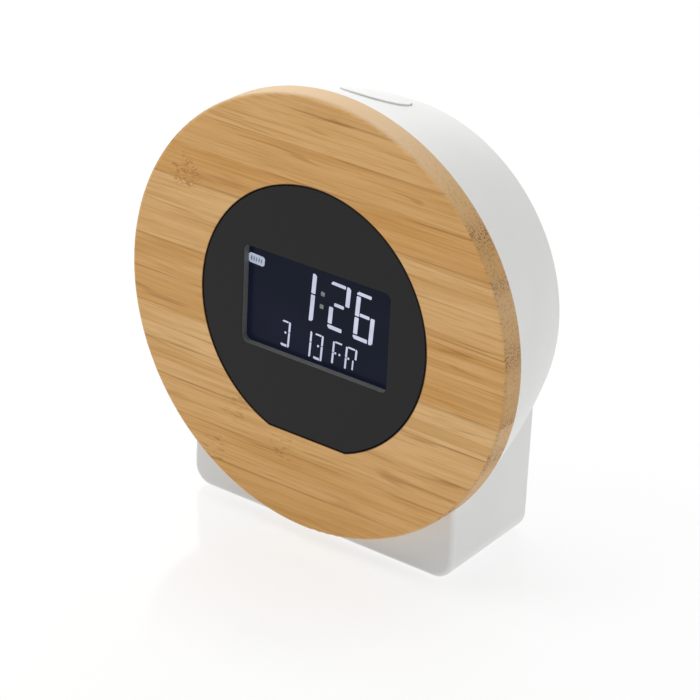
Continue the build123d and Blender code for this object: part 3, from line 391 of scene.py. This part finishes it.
# White body: front slice, rear shell with the foot, top button, battery door and keys, all
# moulded in white ABS with a fine spark-eroded grain that keeps them matt.
white_abs = Finish("white_abs")
grain = white_abs.noise(white_abs.place, 3.2, 3.0, 0.6)
cloud = white_abs.noise(white_abs.place, 0.035, 2.0)
white_abs.surface(
    {
        "Base Color": white_abs.blend(
            cloud.rise(0.3, 0.7), (0.835, 0.835, 0.820, 1.0), (0.860, 0.860, 0.850, 1.0)
        ),
        "Roughness": 0.44 + 0.10 * grain,
        "Normal": white_abs.relief(grain, 0.02, 0.35),
    }
)
white_abs.cover("front_frame", "rear_housing", "top_button", "battery_door")
white_abs.cover("key_mode", "key_set", "key_up", "key_down")

# Dark panel: one moulding in ABS, pressed into the bamboo and screwed to the front frame from
# behind. Its front has a coat of matt black paint. The walls of its window are a lighter grey:
# painted light, for the light that falls on them from above and from the right.
black_abs = Finish("black_abs")
black_grain = black_abs.noise(black_abs.place, 2.6, 3.0, 0.65)
panel_across = black_abs.node("ShaderNodeSeparateXYZ", {}, {0: black_abs.place}, "X")
panel_depth = black_abs.node("ShaderNodeSeparateXYZ", {}, {0: black_abs.place}, "Y")
panel_up = black_abs.node("ShaderNodeSeparateXYZ", {}, {0: black_abs.place}, "Z")
window_across, window_up = 0.9, 1.0
window_half_width, window_half_height = 26.0, 15.5
wall_light_edge = 0.1
in_width = abs(panel_across - window_across)
in_width = in_width.rise(window_half_width, window_half_width - wall_light_edge)
in_height = abs(panel_up - window_up)
in_height = in_height.rise(window_half_height, window_half_height - wall_light_edge)
# Painted light: the window's walls are made lighter grey where light falls on them.
wall_light_share = in_width * in_height * panel_depth.rise(0.05, 0.30)
paint = black_abs.blend(
    black_grain.rise(0.35, 0.65), (0.010, 0.010, 0.010, 1.0), (0.014, 0.014, 0.014, 1.0)
)
painted_wall_light = black_abs.blend(
    black_grain.rise(0.35, 0.65), (0.138, 0.140, 0.140, 1.0), (0.160, 0.162, 0.162, 1.0)
)
black_abs.surface(
    {
        "Base Color": black_abs.blend(wall_light_share, paint, painted_wall_light),
        "Roughness": 0.50 + 0.12 * black_grain,
        "Specular IOR Level": 0.25,
        "Normal": black_abs.relief(black_grain, 0.02, 0.4),
    }
)
black_abs.cover("display_panel")

# Display glass: two panes with the liquid crystal between them, under an anti-glare film. Where
# it is off, a little of the backlight leaks through as dark blue.
glass = Finish("display_glass")
film = glass.noise(glass.place, 5.0, 2.0)
depth_tint = glass.noise(glass.place, 0.045, 1.0)
glass.surface(
    {
        "Base Color": glass.blend(
            depth_tint.rise(0.3, 0.7), (0.003, 0.004, 0.008, 1.0), (0.004, 0.005, 0.010, 1.0)
        ),
        "Roughness": 0.20 + 0.06 * film,
        "Specular IOR Level": 0.06,
        "Emission Color": glass.blend(
            depth_tint.rise(0.3, 0.7), (0.0035, 0.0056, 0.0125, 1.0), (0.0050, 0.0070, 0.0160, 1.0)
        ),
        "Emission Strength": 1.0,
        "Normal": glass.relief(film, 0.004, 0.2),
    }
)
glass.cover("lcd_glass")

# Lit segments of the display: the crystal opens there and lets the white lamps through. They
# are thin plates just in front of the glass, drawn as slanted bars with clipped corners, and
# they fall a little to the right, because the display sits slightly turned in its window.
glass_depth = (leaning_box("lcd_glass")[0].y - face_middle.y) / millimetre
segment_thickness = 0.04
segment_slant = 0.0645
display_fall = 0.042


def plates(name, outlines, depth, finish):
    """Flat plates of the given outlines, across and up, whose backs lie at this depth."""
    points, faces = [], []
    for outline in outlines:
        first, count = len(points), len(outline)
        for plane in (depth - segment_thickness, depth):
            points += [at(across, plane, up) for across, up in outline]
        faces.append([first + i for i in range(count)])
        faces.append([first + count + i for i in reversed(range(count))])
        for i in range(count):
            following = (i + 1) % count
            faces.append(
                [first + following, first + i, first + count + i, first + count + following]
            )
    mesh = bpy.data.meshes.new(name)
    mesh.from_pydata(points, [], faces)
    mesh.materials.append(finish.material)
    piece = bpy.data.objects.new(name, mesh)
    bpy.context.scene.collection.objects.link(piece)
    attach(piece, "root")


def bar(left, bottom, right, top, clip, outer=None, outer_clip=0.0):
    """An upright bar, anticlockwise from the lower left, with clipped corners.

    The corner whose number is outer has a clip of its own.
    """
    corners = [
        (left, bottom, 1, 1),
        (right, bottom, -1, 1),
        (right, top, -1, -1),
        (left, top, 1, -1),
    ]
    outline = []
    for index, (x, z, inward, upward) in enumerate(corners):
        cut = outer_clip if index == outer else clip
        beside = (x + inward * cut, z)
        above = (x, z + upward * cut)
        outline += [beside, above] if index % 2 else [above, beside]
    return outline


def seven_bars(
    width, height, post, roof, floor, gap, middle, left_part, right_part, clip, outer_clip
):
    """The bars of a figure, by the letters that display makers give them, with their clips.

    The posts part at their own heights on the left and on the right.
    """
    inner = width - post - gap
    bars = {
        "a": (0, height - roof, inner, height, 3),
        "b": (width - post, right_part + gap / 2, width, height, 2),
        "c": (width - post, 0, width, right_part - gap / 2, 1),
        "d": (0, 0, inner, floor, 0),
        "e": (0, floor + gap, post, left_part - gap / 2, None),
        "f": (0, left_part + gap / 2, post, height - roof - gap, None),
        "g": (post + gap / 2, middle - roof / 2, inner, middle + roof / 2, None),
    }
    return {
        letter: bar(left, bottom, right, top, clip, outer, outer_clip)
        for letter, (left, bottom, right, top, outer) in bars.items()
    }


def placed(outlines, across, base):
    """Outlines slanted, moved to their place and turned as the display is in its window."""
    moved = []
    for outline in outlines:
        points = [(across + x + segment_slant * z, base + z) for x, z in outline]
        moved.append([(x, z - display_fall * x) for x, z in points])
    return moved


figure_width = 6.7
figure_height = 14.45
figure_post = 1.38
figure_roof = 0.98
figure_floor = 1.15
figure_gap = 0.42
figure_middle = 7.75
figure_left_part = 6.85
figure_right_part = 8.25
figure_clip = 0.16
figure_outer_clip = 0.55
figure_base = -1.60
figures = [(-8.15, "bc"), (3.65, "abged"), (12.45, "afgedc")]
figure_bars = seven_bars(
    figure_width,
    figure_height,
    figure_post,
    figure_roof,
    figure_floor,
    figure_gap,
    figure_middle,
    figure_left_part,
    figure_right_part,
    figure_clip,
    figure_outer_clip,
)
lit = []
for figure_left, letters in figures:
    lit += placed([figure_bars[letter] for letter in letters], figure_left, figure_base)

small_height = 7.95
small_post = 0.62
small_roof = 0.50
small_floor = 0.72
small_gap = 0.20
small_middle = 4.30
small_left_part = 4.30
small_right_part = 4.65
small_base = -12.60
small_clip = 0.10
digit_width = 2.9
letter_width = 3.9
dot_half = small_post / 2
small_r_left = 9.95
small_figures = [
    (-12.30, digit_width, "abcd", [1.30]),
    (-4.75, digit_width, "bc", []),
    (-0.75, digit_width, "abcd", [1.30]),
    (5.45, letter_width, "aef", [1.10, 2.55]),
    (small_r_left, letter_width, "abef", [1.15]),
]
for small_left, small_width, letters, dots in small_figures:
    small_bars = seven_bars(
        small_width,
        small_height,
        small_post,
        small_roof,
        small_floor,
        small_gap,
        small_middle,
        small_left_part,
        small_right_part,
        small_clip,
        small_post / 2,
    )
    # In a letter the left post runs up into the roof's height, and the roof starts beside it.
    if "f" in letters:
        roof_left, roof_base = small_post + small_gap / 2, small_height - small_roof
        roof_right = small_width - small_post - small_gap
        small_bars["a"] = bar(roof_left, roof_base, roof_right, small_height, small_clip)
        post_base, post_top = small_left_part + small_gap / 2, small_height - small_roof / 2
        small_bars["f"] = bar(0, post_base, small_post, post_top, small_clip)
    outlines = [small_bars[letter] for letter in letters]
    dot_base, dot_top = small_middle - dot_half, small_middle + dot_half
    for dot in dots:
        outlines.append(bar(dot - dot_half, dot_base, dot + dot_half, dot_top, small_clip))
    lit += placed(outlines, small_left, small_base)

# The leg of the small R is a thin stroke of its own, a little left of the post above it.
leg_left = 2.55
leg_width = 0.45
leg_base = 1.35
leg = bar(leg_left, leg_base, leg_left + leg_width, small_middle, small_clip)
lit += placed([leg], small_r_left, small_base)

lit_segment = Finish("lit_segment")
glow = lit_segment.noise(lit_segment.place, 0.25, 2.0)
lit_segment.surface(
    {
        "Base Color": (0.02, 0.02, 0.03, 1.0),
        "Roughness": 0.35,
        "Emission Color": lit_segment.blend(
            glow.rise(0.3, 0.7), colour(184, 190, 213), colour(200, 204, 225)
        ),
        "Emission Strength": 1.0,
    }
)
plates("lit_segments", lit, glass_depth, lit_segment)

# Colon: the same plates, but faint, because its segments are half open at that moment.
colon_size = 1.3
colon_base = 3.35
colon_rise = 3.85
colon_across = 0.75
faint_segment = Finish("faint_segment")
faint_glow = faint_segment.noise(faint_segment.place, 1.2, 2.0)
faint_segment.surface(
    {
        "Base Color": (0.02, 0.02, 0.03, 1.0),
        "Roughness": 0.35,
        "Emission Color": faint_segment.blend(
            faint_glow.rise(0.3, 0.7), colour(88, 88, 92), colour(112, 112, 116)
        ),
        "Emission Strength": 1.0,
    }
)
colon = [bar(0, up, colon_size, up + colon_size, figure_clip) for up in (0, colon_rise)]
plates("colon_segments", placed(colon, colon_across, colon_base), glass_depth, faint_segment)

# Badge at the upper left of the display: a lit pill whose marks are half dark, drawn as plain
# bars because they can't be read.
badge_left = -24.65
badge_base = 8.75
badge_width = 5.65
badge_height = 2.95
badge_clip = 0.55
badge_bars = 5
badge_bar_width = 0.42
badge_margin = 0.85
badge_glow = Finish("badge_glow")
badge_haze = badge_glow.noise(badge_glow.place, 0.6, 2.0)
badge_glow.surface(
    {
        "Base Color": (0.02, 0.02, 0.03, 1.0),
        "Roughness": 0.35,
        "Emission Color": badge_glow.blend(
            badge_haze.rise(0.3, 0.7), colour(158, 170, 192), colour(180, 188, 208)
        ),
        "Emission Strength": 1.0,
    }
)
badge = bar(0, 0, badge_width, badge_height, badge_clip)
plates("alarm_badge", placed([badge], badge_left, badge_base), glass_depth, badge_glow)
badge_step = (badge_width - 2 * badge_margin - badge_bar_width) / (badge_bars - 1)
badge_top = badge_height - badge_margin
dark_marks = []
for index in range(badge_bars):
    mark_left = badge_margin + index * badge_step
    mark_right = mark_left + badge_bar_width
    dark_marks.append(bar(mark_left, badge_margin, mark_right, badge_top, badge_bar_width / 4))
dark_marks = placed(dark_marks, badge_left, badge_base)
plates("badge_marks", dark_marks, glass_depth - segment_thickness, faint_segment)

# Backlight: a clear acrylic plate with a dotted back, a white film behind it, and lamps on a
# strip along its left edge.
guide = Finish("clear_acrylic")
dot_grid = {"Vector": guide.place, "Scale": 1.4, "Randomness": 0.0}
guide_dots = guide.node("ShaderNodeTexVoronoi", {"feature": "F1"}, dot_grid).rise(0.35, 0.25)
guide.surface(
    {
        "Base Color": guide.blend(guide_dots, (0.72, 0.76, 0.80, 1.0), (0.90, 0.92, 0.94, 1.0)),
        "Roughness": 0.08 + 0.30 * guide_dots,
        "Transmission Weight": 0.5,
    }
)
guide.cover("light_guide")

white_film = Finish("white_film")
film_mottle = white_film.noise(white_film.place, 1.5, 2.0)
white_film.surface(
    {
        "Base Color": white_film.blend(
            film_mottle, (0.86, 0.86, 0.86, 1.0), (0.92, 0.92, 0.92, 1.0)
        ),
        "Roughness": 0.55 + 0.10 * film_mottle,
    }
)
white_film.cover("reflector_sheet")

lamp = Finish("lamp_phosphor")
lamp_speckle = lamp.noise(lamp.place, 4.0, 2.0)
lamp.surface(
    {
        "Base Color": lamp.blend(lamp_speckle, (0.85, 0.80, 0.35, 1.0), (0.92, 0.90, 0.62, 1.0)),
        "Roughness": 0.25 + 0.15 * lamp_speckle,
    }
)
lamp.cover("backlight_leds")

# Circuit boards: glass fibre laminate under green solder resist, with copper tracks that show
# as paler lines and tinned pads.
board = Finish("green_board")
layout = {"Vector": board.stretched(0.55, 0.55, 0.55), "Scale": 1.0, "Randomness": 0.45}
track_distance = board.node("ShaderNodeTexVoronoi", {"feature": "DISTANCE_TO_EDGE"}, layout)
pad_distance = board.node("ShaderNodeTexVoronoi", {"feature": "F1"}, layout)
weave = board.noise(board.stretched(3.0, 3.0, 3.0), 1.0, 1.0)
tracks = track_distance.rise(0.12, 0.08)
pads = pad_distance.rise(0.20, 0.17)
resist = board.blend(weave, (0.010, 0.085, 0.032, 1.0), (0.014, 0.105, 0.042, 1.0))
resist = board.blend(tracks, resist, (0.030, 0.210, 0.080, 1.0))
board.surface(
    {
        "Base Color": board.blend(pads, resist, (0.62, 0.60, 0.56, 1.0)),
        "Metallic": pads,
        "Roughness": 0.30 + 0.10 * weave,
        "Normal": board.relief(tracks + pads, 0.03, 0.6),
    }
)
board.cover("main_board", "key_board", "switch_board", "led_strip")

# Plain black mouldings inside: frame of the display stack, switches, plugs, buzzer and chip.
inner_black = Finish("inner_black")
inner_grain = inner_black.noise(inner_black.place, 2.2, 3.0)
inner_black.surface(
    {
        "Base Color": inner_black.blend(
            inner_grain, (0.018, 0.018, 0.019, 1.0), (0.030, 0.030, 0.031, 1.0)
        ),
        "Roughness": 0.38 + 0.14 * inner_grain,
        "Normal": inner_black.relief(inner_grain, 0.02, 0.4),
    }
)
inner_black.cover("lcd_frame", "top_switch", "key_switches")
inner_black.cover("ribbon_headers", "buzzer", "clock_chip")

# Switch stems and the alarm slider: hard, slightly glossy nylon.
nylon = Finish("dark_nylon")
nylon_streak = nylon.noise(nylon.stretched(0.6, 2.0, 0.6), 1.0, 3.0)
nylon.surface(
    {
        "Base Color": nylon.blend(
            nylon_streak, (0.022, 0.022, 0.024, 1.0), (0.040, 0.040, 0.043, 1.0)
        ),
        "Roughness": 0.30 + 0.12 * nylon_streak,
        "Normal": nylon.relief(nylon_streak, 0.015, 0.4),
    }
)
nylon.cover("top_switch_stem", "stem_mode", "stem_set", "stem_up", "stem_down", "alarm_slider")

# Screws: steel wire headed and threaded, then zinc plated, with the turning marks of a head.
zinc = Finish("zinc_plate")
zinc_brush = zinc.noise(zinc.stretched(1.0, 9.0, 1.0), 1.0, 4.0)
zinc_stain = zinc.noise(zinc.place, 0.5, 2.0)
zinc.surface(
    {
        "Base Color": zinc.blend(zinc_stain, (0.50, 0.52, 0.55, 1.0), (0.64, 0.65, 0.64, 1.0)),
        "Metallic": 1.0,
        "Roughness": 0.26 + 0.20 * zinc_brush,
        "Normal": zinc.relief(zinc_brush, 0.01, 0.5),
    }
)
zinc.cover("board_screws", "panel_screws", "housing_screws")
zinc.cover("switch_board_screws", "key_board_screws")

# Battery contacts, springs and small metal cans: spring steel, nickel plated and bright.
nickel = Finish("nickel_plate")
nickel_haze = nickel.noise(nickel.place, 0.9, 3.0)
nickel_drawn = nickel.noise(nickel.stretched(0.4, 6.0, 0.4), 1.0, 2.0)
nickel.surface(
    {
        "Base Color": nickel.blend(nickel_haze, (0.66, 0.63, 0.58, 1.0), (0.76, 0.74, 0.70, 1.0)),
        "Metallic": 1.0,
        "Roughness": 0.14 + 0.16 * nickel_drawn,
    }
)
nickel.cover("bridge_contact", "positive_contact", "negative_contact", "battery_springs")
nickel.cover("crystal", "alarm_switch")

# Capacitors and chip parts: dark blue sleeves and ceramic with tinned ends.
sleeve = Finish("dark_sleeve")
sleeve_print = sleeve.noise(sleeve.stretched(0.5, 0.2, 0.5), 1.0, 1.0)
sleeve.surface(
    {
        "Base Color": sleeve.blend(
            sleeve_print.rise(0.52, 0.56), (0.012, 0.018, 0.045, 1.0), (0.060, 0.070, 0.110, 1.0)
        ),
        "Roughness": 0.25 + 0.15 * sleeve_print,
    }
)
sleeve.cover("capacitors", "chip_parts")

# Cells: steel cans in a printed sleeve, graphite with a copper band at the positive end. The
# bare metal shows at both ends.
cell_band = 9.0
cell_rim = 0.7
for cell, positive_side in (("battery_upper", 1), ("battery_lower", -1)):
    cell_low, cell_high = leaning_box(cell)
    cell_middle = (cell_low.x + cell_high.x) / 2 / millimetre
    cell_half = (cell_high.x - cell_low.x) / 2 / millimetre
    wrap = Finish(cell + "_wrap")
    cell_across = wrap.node("ShaderNodeSeparateXYZ", {}, {0: wrap.place}, "X")
    along = positive_side * (cell_across - cell_middle)
    scuffs = wrap.noise(wrap.stretched(0.3, 2.5, 2.5), 1.0, 4.0)
    ends = abs(along).rise(cell_half - 2 * cell_rim, cell_half - cell_rim)
    copper = along.rise(cell_half - cell_band, cell_half - cell_band + 0.1)
    sleeve_tone = wrap.blend(copper, (0.020, 0.021, 0.023, 1.0), (0.46, 0.20, 0.075, 1.0))
    wrap.surface(
        {
            "Base Color": wrap.blend(ends, sleeve_tone, (0.66, 0.65, 0.62, 1.0)),
            "Metallic": 0.35 + 0.65 * ends,
            "Roughness": 0.22 + 0.20 * scuffs,
            "Normal": wrap.relief(scuffs, 0.01, 0.3),
        }
    )
    wrap.cover(cell)

# Leads and ribbon: stranded copper in soft grey PVC, moulded flat for the ribbon.
pvc = Finish("grey_pvc")
pvc_bloom = pvc.noise(pvc.place, 1.3, 3.0)
pvc.surface(
    {
        "Base Color": pvc.blend(pvc_bloom, (0.30, 0.30, 0.31, 1.0), (0.42, 0.42, 0.43, 1.0)),
        "Roughness": 0.42 + 0.12 * pvc_bloom,
        "Normal": pvc.relief(pvc_bloom, 0.02, 0.3),
    }
)
pvc.cover("battery_leads", "switch_leads", "ribbon_cable")

# Soft parts between the hard ones: foam tape that holds the bamboo, the layered rubber strip
# that joins glass and board, and the pads under the foot.
foam = Finish("foam_tape")
foam_cells = foam.noise(foam.place, 2.4, 3.0, 0.7)
foam.surface(
    {
        "Base Color": foam.blend(foam_cells, (0.62, 0.62, 0.59, 1.0), (0.80, 0.80, 0.77, 1.0)),
        "Roughness": 0.80 + 0.15 * foam_cells,
        "Normal": foam.relief(foam_cells, 0.06, 0.6),
    }
)
foam.cover("adhesive_ring")

layered = Finish("layered_rubber")
layers_per_millimetre = 4.0
layer_across = layered.node("ShaderNodeSeparateXYZ", {}, {0: layered.place}, "X")
layer_across = layer_across * layers_per_millimetre
layers = (layer_across - math.floor(layer_across)).rise(0.4, 0.6)
layered.surface(
    {
        "Base Color": layered.blend(layers, (0.05, 0.05, 0.05, 1.0), (0.62, 0.30, 0.30, 1.0)),
        "Roughness": 0.60 + 0.10 * layers,
    }
)
layered.cover("contact_strip")

pad_rubber = Finish("pad_rubber")
rubber_grain = pad_rubber.noise(pad_rubber.place, 1.8, 4.0, 0.7)
pad_rubber.surface(
    {
        "Base Color": pad_rubber.blend(
            rubber_grain, (0.030, 0.030, 0.030, 1.0), (0.055, 0.055, 0.054, 1.0)
        ),
        "Roughness": 0.72 + 0.16 * rubber_grain,
        "Normal": pad_rubber.relief(rubber_grain, 0.04, 0.6),
    }
)
pad_rubber.cover("foot_pads")
